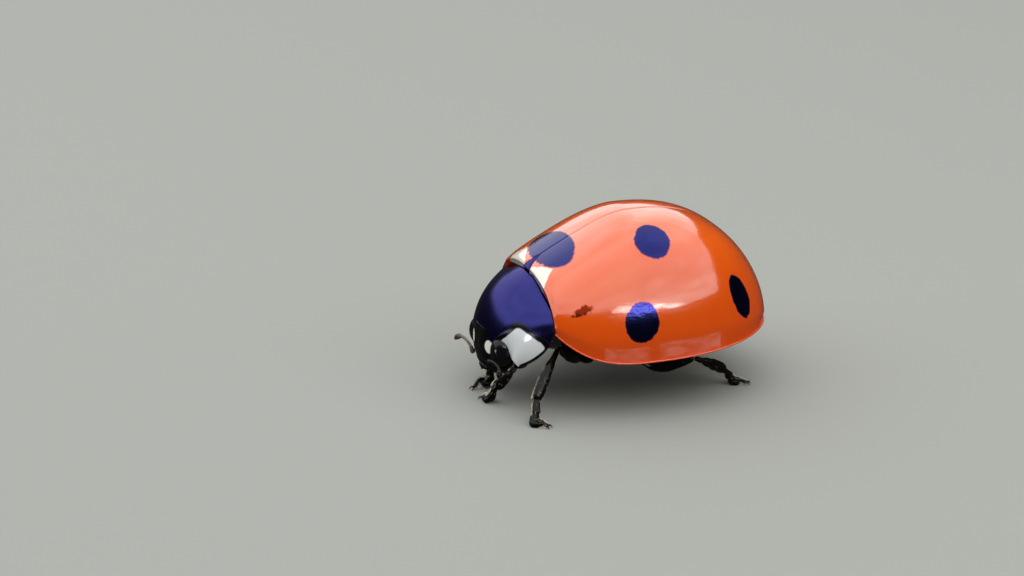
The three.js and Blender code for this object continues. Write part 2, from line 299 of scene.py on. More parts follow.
# %% [markdown]
# ## Marks on the wing cases
#
# The wing cases are chitin with an orange-red pigment under a clear, slightly waxy skin. The black marks
# are the same skin with melanin. Their violet-blue sheen is a painted reflection: the marks are metallic
# with a violet-blue colour, so any light they throw back turns violet-blue, and they are bare of the clear
# skin. Each is an oval that lies on the dome, given by its middle, half sizes and the way the dome faces.
# The red is deeper on the flanks, and one dark red smudge lies on the left case only. Slow swells, a fine
# grain and tiny pits break up the gloss.


# %% The wing-case finish
def lying_on(facing, along):
    """Rotation of an oval that lies flat on a surface facing one way, with its first axis along another."""
    normal = Vector(facing).normalized()
    second = normal.cross(Vector(along)).normalized()
    first = second.cross(normal)
    return tuple(Matrix((first, second, normal)).transposed().to_euler())


SPOTS = (  # middle, half sizes along, across and through the dome, facing, first axis
    ((1.6, -0.04, 2.6), (0.58, 0.43, 0.6), (0.48, -0.03, 0.88), (-0.83, 0.12, 0.46)),
    ((2.84, -0.74, 1.0), (0.5, 0.42, 0.5), (0.93, -0.08, 0.35), (-0.29, 0.26, 0.92)),
    ((2.23, 2.03, 1.14), (0.57, 0.31, 0.5), (0.8, 0.5, 0.33), (-0.19, -0.31, 0.93)),
    ((0.0, -2.08, 2.2), (1.13, 0.47, 3.0), (0, 0, 1), (1, 0, 0)),
)
WHITE_SIDES = (  # a point on each side of the white patch and the way out of it
    ((0.2, -2.72, 0), (-0.42, 0.9, 0)),
    ((1.02, -2.44, 0), (0.72, 0.69, 0)),
)
SMUDGE = ((2.34, -2.09, 1.29), (0.26, 0.1, 0.4), (0.8, -0.45, 0.4), (0.3, 0.8, 0.35))

wing_finish, tree, surface = new_finish("chitin_orange_red_waxed")
place = body_place(tree)
ragged = wobble(tree, both_sides(tree, place), 7.0, 0.05)
black = combine(tree, [
    oval_mark(tree, ragged, middle, radii, lying_on(facing, along), 0.05)
    for middle, radii, facing, along in SPOTS
], "MAXIMUM")
white = behind_planes(tree, ragged, WHITE_SIDES, 0.1)
flank = ramp(tree, place, (0, 0, 1), 2.4, 0.0)
middle, radii, facing, along = SMUDGE
smudge = oval_mark(tree, wobble(tree, place, 9.0, 0.12), middle, radii, lying_on(facing, along), 0.3)
dark = combine(tree, [black, smudge], "MAXIMUM")
soft_relief = swells(tree, place, 14.0, 0.005, 0.7, swells(tree, place, 2.2, 0.012, 0.4))
# The marks' violet-blue metallic colour is a painted reflection; real black chitin throws light back plain.
feed(surface, {
    "Base Color": paint(tree, drift(tree, place, 0.7, "#DC4A00", "#EA6408", 3.0), (flank, "#E44E02"),
                        (smudge, "#70220F"), (white, "#EDE6D8"), (black, "#292B66")),
    "Metallic": dark,
    "IOR": 1.5,
    "Coat Weight": paint(tree, 0.9, (dark, 0.0)),
    "Coat Roughness": 0.06,
    "Coat IOR": 1.55,
    "Roughness": drift(tree, place, 3.0, 0.08, 0.2, 4.0),
    "Normal": pits(tree, place, 0.045, 0.0012, 0.35, soft_relief),
})
print("wing-case finish:", len(tree.nodes), "nodes")

# %% [markdown]
# ## The front plate's finish
#
# The front plate is the same black chitin, smooth enough for a clear reflection. Its violet sheen is a
# painted reflection: the plate is metallic with a violet-blue colour and a violet specular tint. A white
# patch in each front corner runs down to a thin black edge, and round it the skin is plain black without
# the painted sheen. The patch wraps round a corner of the plate, so planes that stand on its sides cut it
# out.

# %% The front-plate finish
PATCH_SIDES = (  # a point on each side of the white patch and the way out of it
    ((1.35, -3.41, 0.72), (-0.46, -0.5, 0.73)),
    ((1.35, -3.41, 0.72), (-0.05, 0.63, 0.77)),
    ((1.84, -2.9, 0.3), (0.3, 0.95, -0.1)),
    ((0.75, -3.6, 0.3), (-1, 0.1, 0.1)),
)
PATCH_ROUNDING = 0.16
PATCH_BORDER = 0.13  # how far the skin round the patch stays plain black
BORDER_SIDES = [(Vector(at) + Vector(out).normalized() * PATCH_BORDER, out) for at, out in PATCH_SIDES]

plate_finish, tree, surface = new_finish("chitin_black_polished")
place = body_place(tree)
ragged = wobble(tree, both_sides(tree, place), 6.0, 0.035)
rim = add_node(tree, "Attribute", output="Fac", attribute_name="mark")
off_rim = add_node(tree, "MapRange", {"Value": rim, "From Min": 0.6, "From Max": 0.4},
                   interpolation_type="SMOOTHSTEP")
patch = combine(tree, [behind_planes(tree, ragged, PATCH_SIDES, PATCH_ROUNDING), off_rim], "MINIMUM")
plain = combine(tree, [rim, behind_planes(tree, ragged, BORDER_SIDES, PATCH_ROUNDING)], "MAXIMUM")
# The violet-blue metallic colour and the violet Specular Tint are a painted reflection; the plain black and
# the white patch are the chitin's own colours.
feed(surface, {
    "Base Color": paint(tree, "#2D2E68", (plain, "#050508"), (patch, "#EBEFF4")),
    "Metallic": paint(tree, 1.0, (plain, 0.0)),
    "IOR": 1.5,
    "Specular Tint": "#DAD6F2",
    "Coat Weight": paint(tree, 0.0, (patch, 0.9)),
    "Coat Roughness": 0.1,
    "Coat IOR": 1.5,
    "Roughness": drift(tree, place, 4.0, 0.16, 0.26, 4.0),
    "Normal": pits(tree, place, 0.045, 0.001, 0.35, swells(tree, place, 2.5, 0.01, 0.3)),
})
print("front-plate finish:", len(tree.nodes), "nodes")

# %% [markdown]
# ## Duller black chitin
#
# Legs and underside are plain black chitin that is not polished: its fine roughness spreads a light to a
# soft grey streak. The face is alike, with two white marks on the brow. Its middle is a little to the left,
# because the head is turned.

# %% Black shell and face finishes
shell_finish, tree, surface = new_finish("chitin_black_satin")
place = body_place(tree)
feed(surface, {
    "Base Color": drift(tree, place, 2.5, "#040406", "#0E0C0C", 5.0),
    "Specular IOR Level": 0.22,
    "Roughness": drift(tree, place, 2.5, 0.12, 0.34, 5.0),
    "Normal": pits(tree, place, 0.035, 0.0015, 0.4),
})

FACE_MIDDLE = 0.12
head_finish, tree, surface = new_finish("chitin_black_face")
place = body_place(tree)
turned = add_node(tree, "VectorMath", {0: place, 1: (FACE_MIDDLE, 0, 0)}, operation="SUBTRACT")
ragged = wobble(tree, both_sides(tree, turned), 8.0, 0.02)
brow = oval_mark(tree, ragged, (0.49, -3.95, 0.02), (0.15, 0.4, 0.16), edge=0.1)
feed(surface, {
    "Base Color": paint(tree, "#050507", (brow, "#E9E6DE")),
    "Specular IOR Level": 0.2,
    "Roughness": drift(tree, place, 5.0, 0.14, 0.36, 4.0),
    "Normal": pits(tree, place, 0.04, 0.0015, 0.5),
})
print("finishes:", shell_finish.name, "and", head_finish.name)

# %% [markdown]
# ## Eyes, feelers and bristles
#
# An eye is a mass of tiny lenses, packed like a honeycomb: a deep black with a dim, broken light on it.
# The feelers are so thin that brown shows through, darker where a joint is thick; the left feeler is
# painted dark all over, as painted shade. Bristles are dry, pale hairs that catch the light.

# %% Eye, feeler and bristle finishes
eye_finish, tree, surface = new_finish("compound_eye_black")
place = body_place(tree)
feed(surface, {
    "Base Color": drift(tree, place, 3.0, "#08080B", "#15141C"),
    "Specular IOR Level": 0.3,
    "Roughness": drift(tree, place, 3.0, 0.12, 0.25),
    "Normal": pits(tree, place, 0.024, -0.002, 0.6),  # pits turned inside out are lenses
})

feeler_finish, tree, surface = new_finish("chitin_brown_thin")
place = body_place(tree)
darkness = add_node(tree, "Attribute", output="Fac", attribute_name="mark")
feed(surface, {
    "Base Color": paint(tree, "#75665F", (darkness, "#0E0C0C")),
    "Roughness": drift(tree, place, 12.0, 0.3, 0.55, 3.0),
    "Normal": pits(tree, place, 0.03, 0.003, 0.6),
})

bristle_finish, tree, surface = new_finish("bristle_pale_gold")
place = body_place(tree)
feed(surface, {
    "Base Color": drift(tree, place, 4.0, "#B9A27A", "#F2EAD8"),
    "Roughness": drift(tree, place, 4.0, 0.35, 0.55),
})
print("finishes:", [material.name for material in bpy.data.materials])

# %% [markdown]
# ## Shaping a sheet
#
# Most plates start as a flat grid, the simplest bmesh shape, whose points are then moved: one direction
# of the grid runs round the plate and the other along it. Points that land together are merged, so a
# grid can close into a tube or come to a pole, and any hole that is left is filled.


# %% Helpers for meshes
def draped_grid(around, along, point_at, mark=None):
    """A bmesh grid with every point moved to point_at(a, s), a and s running from 0 to 1.

    A mark is a number for each point, from mark(a, s), that a finish can read.
    """
    bm = bmesh.new()
    bmesh.ops.create_grid(bm, x_segments=around, y_segments=along, size=0.5)
    layer = bm.verts.layers.float.new("mark") if mark else None
    for vertex in bm.verts:
        a, s = vertex.co.x + 0.5, vertex.co.y + 0.5
        vertex.co = point_at(a, s)
        if mark:
            vertex[layer] = mark(a, s)
    bmesh.ops.remove_doubles(bm, verts=bm.verts, dist=2e-7)
    edges = [edge for edge in bm.edges if edge.is_boundary]
    bmesh.ops.holes_fill(bm, edges=edges, sides=0)
    bmesh.ops.recalc_face_normals(bm, faces=bm.faces)
    return bm


def join_into(target, source):
    """Add one bmesh's shape to another."""
    mesh = bpy.data.meshes.new("joined")
    source.to_mesh(mesh)
    target.from_mesh(mesh)
    bpy.data.meshes.remove(mesh)
    source.free()


def new_object(bm, name, finish):
    """An object at the origin from a bmesh, with one finish."""
    mesh = bpy.data.meshes.new(name)
    bm.to_mesh(mesh)
    bm.free()
    mesh.materials.append(finish)
    made = bpy.data.objects.new(name, mesh)
    bpy.context.scene.collection.objects.link(made)
    return made


def finish_piece(bm, name, finish, replaced=(), sharp_over=50):
    """Turn a bmesh into a piece of the model, smooth apart from its sharp edges."""
    piece = new_object(bm, name, finish)
    piece.data.shade_smooth()
    piece.data.set_sharp_from_angle(angle=math.radians(sharp_over))
    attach(piece, "root")
    if replaced:
        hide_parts(*replaced)
    print(f"{name}: {sum(len(polygon.vertices) - 2 for polygon in piece.data.polygons)} triangles")


# %% [markdown]
# ## Wing cases
#
# A wing case is a thin shell that ends in a rolled bead all round its outer edge, with a shallow gutter
# above the bead and a flat lip turned in below it. The grid's lines fan out from the seam to the outer
# edge, so that the bead follows the edge right round to the tip. Each line runs out over the dome, round
# the bead, in along the lip and back to the seam on the inside.

# %% Wing cases
SEAM_GAP = 0.004
SEAM_EDGE = 0.012  # how far from the seam the surface starts to roll down
SEAM_END = 2.3  # the last line starts here and runs on along the seam to the tip
GUTTER = 0.045  # how far the gutter is drawn in above the bead
GUTTER_TOP = 0.22  # share of the dome's rise where the gutter ends
BEAD = 0.022
BEAD_ARC = (156, -90)  # degrees, from where the dome meets the bead to its underside
INNER_RISE = 0.88  # of the inside, as a share of the outside's
FRONT_ROLL = (0.025, 0.09)  # how the front edge rolls down, by the seam and by the shoulder
LIP = 0.5
SCUTELLUM_HALF_WIDTH = 0.2
SCUTELLUM_LENGTH = 0.36
SCUTELLUM_THICKNESS = 0.15
OUTER, ROLLED, UNDER, INNER = 0.72, 0.79, 0.83, 0.98  # shares of the grid's width


def edge_point(s):
    """The outer edge's plan point and outward direction at a share s of the way to the tip."""
    def spot(share):
        y = mix(CASE_FRONT, CASE_REAR, math.sin(share * math.pi / 2))
        return Vector((half_width(y), y, 0))
    if s > 0.9999:
        return Vector((0, CASE_REAR, 0)), Vector((0, 1, 0))
    run = spot(min(s + 0.002, 1)) - spot(max(s - 0.002, 0))
    return spot(s), Vector((run.y, -run.x, 0)).normalized()


def seam_point(s):
    y = mix(CASE_FRONT, SEAM_END, s)
    notch = SCUTELLUM_HALF_WIDTH * clamp01(1 - (y - CASE_FRONT) / SCUTELLUM_LENGTH)
    return Vector((notch + SEAM_GAP, y, 0))


def roll(distance, radius):
    """How far a surface has sunk at a distance from an edge that is rounded with a radius."""
    q = clamp01(1 - distance / radius)
    return radius * (1 - math.sqrt(1 - q * q))


def case_point(a, s, side):
    edge, outward = edge_point(s)
    seam = seam_point(s)
    low = margin_height(edge.y)
    if a <= OUTER or a >= INNER:
        share = math.sin(a / OUTER * math.pi / 2) if a <= OUTER else 0
        plan = seam.lerp(edge, share)
        arch = arch_over(plan.x, plan.y)
        drawn_in = GUTTER * (1 - smooth(arch / GUTTER_TOP)) * share
        sunk = roll(plan.x - seam.x if s < 1 else SEAM_EDGE, SEAM_EDGE) + roll(
            plan.y - CASE_FRONT, mix(*FRONT_ROLL, share ** 4))
        point = plan - outward * drawn_in
        point.z = margin_height(plan.y) + crest_rise(plan.y) * arch + 0.03 * (1 - arch) ** 4 - sunk
        if a >= INNER:
            inner = case_point(INNER - 1e-9, s, 1)
            point = inner.lerp(world(*point), (a - INNER) / (1 - INNER))
            return Vector((2 * BODY.x * MM - point.x, point.y, point.z)) if side < 0 else point
    elif a <= ROLLED:
        angle = math.radians(mix(*BEAD_ARC, (a - OUTER) / (ROLLED - OUTER)))
        point = edge + outward * BEAD * (math.cos(angle) - 1)
        point.z = low + BEAD * math.sin(angle)
    elif a <= UNDER:
        share = (a - ROLLED) / (UNDER - ROLLED)
        point = edge - outward * mix(BEAD, LIP, share)
        point.z = mix(low - BEAD, low + 0.03, share)
    else:
        share = math.cos((a - UNDER) / (INNER - UNDER) * math.pi / 2)
        plan = seam.lerp(edge, share)
        arch = arch_over(plan.x, plan.y)
        point = seam.lerp(edge - outward * LIP, share)
        point.z = margin_height(plan.y) + crest_rise(plan.y) * arch * INNER_RISE + 0.04 * share
    point.x *= side
    return world(*point)


for name, side in SIDES:
    bm = draped_grid(150, 150, lambda a, s: case_point(a, s, side))
    finish_piece(bm, f"wing_case_{name}", wing_finish, [f"elytron_{name}"], 60)

# %% [markdown]
# ## Scutellum
#
# The scutellum is a small black triangle that locks the two wing cases together in front. It starts as
# three points, is filled, cut into a fine net and laid on the dome, and gets its thickness last.

# %% Scutellum
bm = bmesh.new()
corners = [
    bm.verts.new((-SCUTELLUM_HALF_WIDTH, CASE_FRONT - 0.03, 0)),
    bm.verts.new((SCUTELLUM_HALF_WIDTH, CASE_FRONT - 0.03, 0)),
    bm.verts.new((0, CASE_FRONT + SCUTELLUM_LENGTH, 0)),
]
bm.faces.new(corners)
bmesh.ops.subdivide_edges(bm, edges=bm.edges, cuts=9, use_grid_fill=True)
for vertex in bm.verts:
    x, y = vertex.co.x, vertex.co.y
    inset = clamp01(1 - abs(x) / SCUTELLUM_HALF_WIDTH - (y - CASE_FRONT) / SCUTELLUM_LENGTH)
    height = margin_height(y) + crest_rise(y) * arch_over(x, y) - 0.02 + 0.03 * min(inset * 4, 1)
    vertex.co = world(x, y, height)
bmesh.ops.recalc_face_normals(bm, faces=bm.faces)
if bm.faces[:][0].normal.z < 0:
    bmesh.ops.reverse_faces(bm, faces=bm.faces)
bmesh.ops.solidify(bm, geom=bm.faces, thickness=SCUTELLUM_THICKNESS * MM)
bmesh.ops.recalc_face_normals(bm, faces=bm.faces)
finish_piece(bm, "scutellum_plate", plate_finish, ["scutellum"])

# %% [markdown]
# ## Front plate
#
# The front plate, or pronotum, is a curved shield. Its edge line runs from a hind corner beside the wing
# cases forward to a corner by the eye, and its crest line arches over the neck. Between them the shield
# is an arch, and below it turns in to a ridge under the throat. In front a funnel leads in round the head.

# %% Front plate
PLATE_HIND_CREST = Vector((0, -2.72, 1.66))
PLATE_CREST_BULGE = Vector((0, -3.66, 1.3))
PLATE_FRONT_CREST = Vector((0, -3.97, 0.3))
PLATE_HIND_CORNER = Vector((2.15, -2.75, 0.66))
PLATE_SIDE_BULGE = Vector((2.0, -2.95, 0.05))
PLATE_FRONT_CORNER = Vector((1.36, -3.42, -0.3))
KEEL_HIND = Vector((0, -2.76, -0.55))
KEEL_FRONT = Vector((0, -3.2, -0.45))
THROAT = Vector((0, -3.1, 0.0))
PLATE_ARCH = (2.25, 2.05)
PLATE_BEAD = 0.025
PLATE_DIP = 0.12  # the hind edge sinks between crest and corner
OVER, RIM_OUT, RIM_IN = 0.56, 0.6, 0.96  # shares round the plate where top, rim and rim end
RIM_BAND = 0.0052
TUCK_TO = 0.06  # shares of the rows that slip under the wing cases behind ...
FUNNEL_FROM = 0.88  # ... and lead in round the head in front


def bezier(a, b, c, s):
    return a * (1 - s) ** 2 + b * 2 * s * (1 - s) + c * s * s


def plate_point(a, r):
    s = clamp01((r - TUCK_TO) / (FUNNEL_FROM - TUCK_TO))
    margin = bezier(PLATE_HIND_CORNER, PLATE_SIDE_BULGE, PLATE_FRONT_CORNER, s)
    crest = bezier(PLATE_HIND_CREST, PLATE_CREST_BULGE, PLATE_FRONT_CREST, s)
    keel = KEEL_HIND.lerp(KEEL_FRONT, s)
    if a < OVER:
        share = math.sin((2 * a / OVER - 1) * math.pi / 2)
        arch = superellipse(abs(share), PLATE_ARCH)
        point = margin.lerp(crest, arch)
        point.z += PLATE_BEAD * (1 - arch) - roll((1 - s) * 1.4, 0.05)
        point.x = margin.x * share
        point.z -= PLATE_DIP * bell(abs(share) - 0.6, 0.3) * (1 - s) ** 2
    elif a < RIM_OUT or a > RIM_IN:
        share = 1
        turn = (a - OVER) / (RIM_OUT - OVER) if a < RIM_OUT else (1 - a) / (1 - RIM_IN)
        angle = math.pi / 2 - math.pi * turn
        out = 1 if a < RIM_OUT else -1
        point = margin.copy()
        point.x = out * (margin.x + PLATE_BEAD * math.cos(angle))
        point.z += PLATE_BEAD * math.sin(angle)
    else:
        share = math.cos((a - RIM_OUT) / (RIM_IN - RIM_OUT) * math.pi)
        point = margin.lerp(keel, (1 - share * share) ** 3)
        point.x = margin.x * share
        point.z -= PLATE_BEAD * abs(share)
    if a < RIM_OUT or a > RIM_IN:
        cut_back = s ** 4  # the front edge is cut back round each eye
        across = abs(share)
        point.y += 0.2 * cut_back * bell(across - 0.82, 0.13)
        point.z += cut_back * (0.13 * bell(across - 0.68, 0.1) - 0.1 * bell(across - 0.86, 0.08))
    if r < TUCK_TO:
        tuck = 1 - r / TUCK_TO
        point += Vector((-0.06 * point.x * tuck, 0.12 * tuck, -0.1 * tuck * tuck))
    if r > FUNNEL_FROM:
        inward = (r - FUNNEL_FROM) / (1 - FUNNEL_FROM)
        point = point.lerp(THROAT, 0.06 * smooth(inward * 3) + 0.5 * max(inward - 0.2, 0))
    return world(*point)


def plate_rim(a, r):
    """1 on the bead round the plate's edge, which stays black beside the white patch."""
    return float(a > OVER - RIM_BAND or a < RIM_BAND)


bm = draped_grid(300, 80, plate_point, plate_rim)
finish_piece(bm, "front_plate", plate_finish, ["pronotum"], 60)

# %% [markdown]
# ## Head
#
# A ladybird's head is a short rounded box, sunk in the front plate up to the eyes. The same stack of
# ovals as the solid gives its form, and the face gets its own small shapes: a dent in the brow, a
# groove above the lip shield, and a socket under each eye for the feeler.

# %% Head
HEAD_TOP = 0.4
HEAD_CHIN = -0.7
HEAD_Y = -3.54
HEAD_HALF_WIDTH = 0.98
HEAD_HALF_DEPTH = 0.5
HEAD_WIDEST_AT = 0.43
HEAD_CLOSES_AT = 0.77
FEELER_SOCKET = Vector((0.68, -3.94, -0.36))


def skull_point(a, s):
    z = mix(HEAD_TOP, HEAD_CHIN, s)
    off_middle = abs(s - HEAD_WIDEST_AT) / HEAD_CLOSES_AT
    width = HEAD_HALF_WIDTH * superellipse(off_middle, (2.2, 1.8))
    depth = HEAD_HALF_DEPTH * superellipse(off_middle, (2.2, 2))
    angle = 2 * math.pi * a
    point = Vector((width * math.cos(angle), HEAD_Y + depth * math.sin(angle), z))
    if point.y < HEAD_Y:
        groove = 0.035 * bell(z + 0.44, 0.035)
        dent = 0.02 * bell(point.x, 0.16) * smooth((z + 0.3) / 0.3)
        socket = min((point - Vector((side * FEELER_SOCKET.x, FEELER_SOCKET.y, FEELER_SOCKET.z))).length
                     for _, side in SIDES)
        point.y += groove + dent + 0.07 * bell(socket, 0.1)
    return world(*point)


bm = draped_grid(96, 64, skull_point)
finish_piece(bm, "head_capsule", head_finish, ["head"])

# %% [markdown]
# ## Eyes and mouth
#
# Each eye is a dome set in the side of the head, taller than it is wide. Below the face sit the lip shield
# and the tips of two jaws. All are balls that are scaled, turned and moved.

# %% Eyes, lip and jaws
EYE_CENTRE = Vector((0.84, -3.66, -0.04))
EYE_RADII = Vector((0.29, 0.29, 0.38))


def rounded(centre, radii, turn=0.0, fineness=4, power=1.0):
    """An egg-shaped bmesh: a ball scaled, turned about z and moved; power under 1 squares it a little."""
    bm = bmesh.new()
    bmesh.ops.create_icosphere(bm, subdivisions=fineness, radius=1)
    for vertex in bm.verts:
        vertex.co = Vector([math.copysign(abs(c) ** power, c) for c in vertex.co])
    shape = Matrix.Rotation(turn, 4, "Z") @ Matrix.Diagonal((*radii, 1))
    bmesh.ops.transform(bm, matrix=shape, verts=bm.verts)
    for vertex in bm.verts:
        vertex.co = world(*(vertex.co + Vector(centre)))
    return bm


for name, side in SIDES:
    bm = rounded((side * EYE_CENTRE.x, EYE_CENTRE.y, EYE_CENTRE.z), EYE_RADII, fineness=5)
    finish_piece(bm, f"compound_eye_{name}", eye_finish, [f"eye_{name}"])
    bm = rounded((FACE_MIDDLE + side * 0.12, -3.74, -0.69), (0.12, 0.14, 0.1), side * 0.5)
    finish_piece(bm, f"jaw_{name}", shell_finish, [f"mandible_{name}"])
bm = rounded((FACE_MIDDLE, -3.84, -0.62), (0.27, 0.14, 0.09), 0.1, power=0.9)
finish_piece(bm, "lip_shield", head_finish, ["labrum"])

# %% [markdown]
# ## Feelers
#
# Feelers, palps and legs are jointed tubes. A tube is swept along a smooth line through a few points, with
# its thickness given at even steps, so one helper makes every joint. A feeler has eleven joints; the last
# three swell into a club, and the thin ones in the middle let brown show through.


# %% Helper for swept tubes
def along_line(points, s):
    """A point at the share s of a smooth line through the points."""
    if len(points) == 2:
        return points[0].lerp(points[1], s)
    spans = len(points) - 1
    index = min(int(s * spans), spans - 1)
    t = s * spans - index
    before = points[index - 1] if index > 0 else 2 * points[0] - points[1]
    after = points[index + 2] if index + 2 <= spans else 2 * points[-1] - points[-2]
    start, end = points[index], points[index + 1]
    return 0.5 * (2 * start + (end - before) * t + (2 * before - 5 * start + 4 * end - after) * t * t
                  + (3 * start - before - 3 * end + after) * t ** 3)


def along_axes(points, s, facing):
    """The way the line runs at the share s, the way across it and the way over it, which faces out."""
    run = (along_line(points, min(s + 0.01, 1)) - along_line(points, max(s - 0.01, 0))).normalized()
    across = run.cross(facing).normalized()
    return run, across, across.cross(run)


def even_steps(values, s):
    """The value at the share s of a list given at even steps, with soft bends."""
    spans = len(values) - 1
    index = min(int(s * spans), spans - 1)
    return mix(values[index], values[index + 1], smooth(s * spans - index))


def tube(points, radii, flat=1.0, facing=(0, 0, 1), around=20, along=24, mark=None):
    """A closed tube through the points; flat under 1 makes it thinner the way it faces."""
    points = [Vector(p) for p in points]
    facing = Vector(facing)

    def point_at(a, s):
        here = along_line(points, s)
        _, across, over = along_axes(points, s, facing)
        end = min(s, 1 - s)
        cap = math.sqrt(clamp01(1 - (1 - clamp01(end / 0.06)) ** 2))
        radius = even_steps(radii, s) * cap
        angle = 2 * math.pi * a
        spot = here + across * radius * math.cos(angle) + over * radius * flat * math.sin(angle)
        spot.z = max(spot.z, 0.003 - RIDE_HEIGHT)  # soles lie flat on the ground
        return world(*spot)

    return draped_grid(around, along, point_at, mark)


# %% Feelers
FEELER_LEFT = [(0.7, -3.95, -0.33), (0.84, -3.98, -0.27), (1.02, -3.94, -0.24), (1.16, -3.87, -0.32),
               (1.22, -3.86, -0.45), (1.2, -3.88, -0.62)]
FEELER_RIGHT = [(-0.5, -3.97, -0.5), (-0.62, -3.99, -0.38), (-0.8, -4.02, -0.29),
                (-1.0, -4.07, -0.24), (-1.2, -4.13, -0.27), (-1.38, -4.18, -0.4)]
FEELER_JOINTS = (  # length share, thickness at its start and end, how dark it is
    (0.14, 0.05, 0.06, 0.9), (0.08, 0.042, 0.05, 0.7), (0.12, 0.03, 0.037, 0.3), (0.08, 0.029, 0.036, 0.1),
    (0.08, 0.029, 0.036, 0), (0.08, 0.03, 0.037, 0), (0.08, 0.031, 0.04, 0.1), (0.08, 0.034, 0.045, 0.2),
    (0.09, 0.045, 0.068, 0.5), (0.08, 0.062, 0.075, 0.7), (0.09, 0.07, 0.045, 0.9),
)
# The left feeler is painted dark all over as painted shade; the right one keeps the brown of its thin joints.
for name, line, painted_shade in (("left", FEELER_LEFT, 1.0), ("right", FEELER_RIGHT, 0.0)):
    line = [Vector(p) for p in line]
    whole = bmesh.new()
    start = 0.0
    for length, thin, thick, dark in FEELER_JOINTS:
        end = start + length
        joint = [along_line(line, mix(start, end, share / 3)) for share in range(4)]
        join_into(whole, tube(joint, [thin, mix(thin, thick, 0.4), thick, thick * 0.9], facing=(0, 0.3, 1),
                              around=14, along=12, mark=lambda a, s: max(dark, painted_shade)))
        start = end - 0.004
    finish_piece(whole, f"feeler_{name}", feeler_finish, [f"antenna_{name}"])

# %% [markdown]
# ## Palps
#
# Under the lip hang two palps, which the beetle tastes with. Three short joints make each one, and the
# last is flat and widens to a slanting end like a hatchet, so its tube is squeezed to half its thickness.

# %% Palps
PALP_JOINTS = (  # points (out from the palp's middle, y, z), thickness, flatness
    (((0, -3.66, -0.55), (0.03, -3.77, -0.62)), [0.045, 0.055], 1.0),
    (((0.03, -3.75, -0.61), (0.05, -3.81, -0.68)), [0.04, 0.05], 1.0),
    (((0.05, -3.8, -0.67), (0.04, -3.83, -0.74), (0.02, -3.83, -0.79)), [0.045, 0.07, 0.09, 0.08], 0.5),
)
for name, side in SIDES:
    middle = FACE_MIDDLE + side * 0.18
    whole = bmesh.new()
    for line, radii, flat in PALP_JOINTS:
        line = [(middle + side * out, y, z) for out, y, z in line]
        join_into(whole, tube(line, radii, flat, (0, 0, 1) if flat == 1 else (1, 0.3, 0)))
    finish_piece(whole, f"hatchet_palp_{name}", shell_finish, [f"palp_{name}"])

# %% [markdown]
# ## Legs
#
# A leg has a round coxa in the breast, a spindle-shaped femur, a tibia that widens to its end, and a foot
# of three joints that show, the second one in two lobes; the real femur's groove, which the tibia folds
# into, is left out. Two claws end the foot. Real legs are thinner than the solids, which are as thin as
# casting allows, so they lie along the middles of the solids, and their soles reach the floor.

# %% Legs
LEGS = {  # hip, middle of the thigh, knee, ankle, heel, middle of the foot, toe
    "front_left": ((0.42, -2.98, -0.42), (0.8, -3.15, -0.36), (1.02, -3.36, -0.42), (0.9, -3.86, -0.95),
                   (0.66, -3.94, -1.28), (0.55, -4.0, -1.3), (0.42, -4.04, -1.34)),
    "front_right": ((-0.42, -2.98, -0.42), (-0.9, -3.0, -0.45), (-1.2, -3.05, -0.35), (-0.66, -3.44, -0.95),
                    (-0.42, -3.62, -1.24), (-0.4, -3.84, -1.2), (-0.32, -4.03, -1.34)),
    "middle_left": ((0.85, -1.5, -0.45), (1.3, -2.0, -0.2), (1.68, -2.5, 0.16), (2.33, -3.3, -0.86),
                    (2.56, -3.39, -1.31), (2.7, -3.28, -1.32), (2.84, -3.18, -1.34)),
    "middle_right": ((-0.85, -1.3, -0.5), (-1.6, -1.55, -0.38), (-2.2, -1.75, -0.2), (-2.95, -0.9, -0.9),
                     (-3.12, -0.65, -1.31), (-3.17, -0.45, -1.32), (-3.2, -0.25, -1.34)),
    "hind_left": ((0.8, -0.3, -0.55), (1.38, 0.28, -0.7), (1.88, 0.98, -0.46), (1.55, 1.92, -0.98),
                  (1.52, 2.16, -1.31), (1.6, 2.3, -1.32), (1.7, 2.45, -1.34)),
    "hind_right": ((-0.8, -0.2, -0.55), (-1.5, 0.35, -0.5), (-2.15, 0.85, -0.3), (-2.7, 1.9, -0.95),
                   (-2.8, 2.2, -1.31), (-2.87, 2.37, -1.32), (-2.95, 2.55, -1.34)),
}
THIGH_RADII, THIGH_FLAT = [0.09, 0.15, 0.19, 0.19, 0.14, 0.08], 0.62
SHIN_RADII, SHIN_FLAT = [0.065, 0.085, 0.12, 0.145, 0.15, 0.125], 0.7
FOOT_RADII, FOOT_FLAT = [0.1, 0.13, 0.12, 0.06], 0.9
bristly_parts = []

